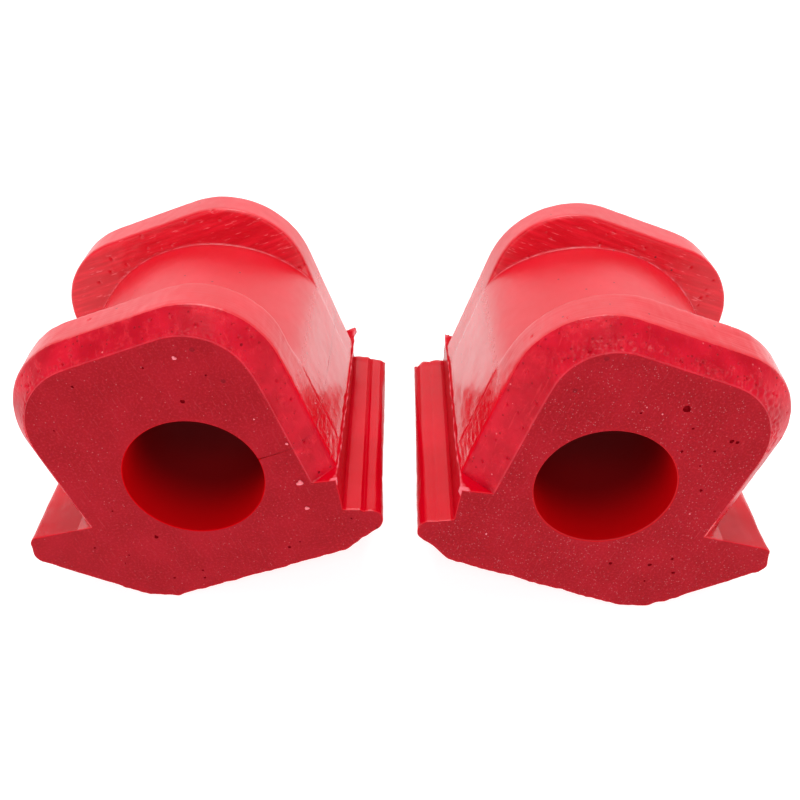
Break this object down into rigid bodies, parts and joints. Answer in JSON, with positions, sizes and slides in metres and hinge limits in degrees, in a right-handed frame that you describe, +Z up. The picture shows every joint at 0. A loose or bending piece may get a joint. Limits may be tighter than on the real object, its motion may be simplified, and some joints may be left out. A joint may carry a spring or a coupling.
{
  "type": "sway bar bushing pair",
  "caption": "Left and right one-piece cast sway bar bushings: through bore, strap groove between bevelled flanges, fitting slit and angled base with side rails.",
  "frame": {"origin": "centre of the pair's box at the level of the surface that the two lower edges stand on", "axes": "+X from the left bushing to the right one, +Y along the bores from front face to rear face, +Z up"},
  "size_m": [0.1214, 0.0484, 0.0556],
  "materials": {
    "red_polyurethane": "cast polyurethane, ground matte on the front faces and semi-gloss on the moulded sides"
  },
  "bodies": {
    "left": {"bushing_left": "red_polyurethane"},
    "right": {"bushing_right": "red_polyurethane"}
  },
  "joints": [
    {"name": "right_bushing_slide", "type": "slide", "parent": "left", "child": "right", "axis": [1, 0, 0], "range_m": [0, 0.06]}
  ]
}
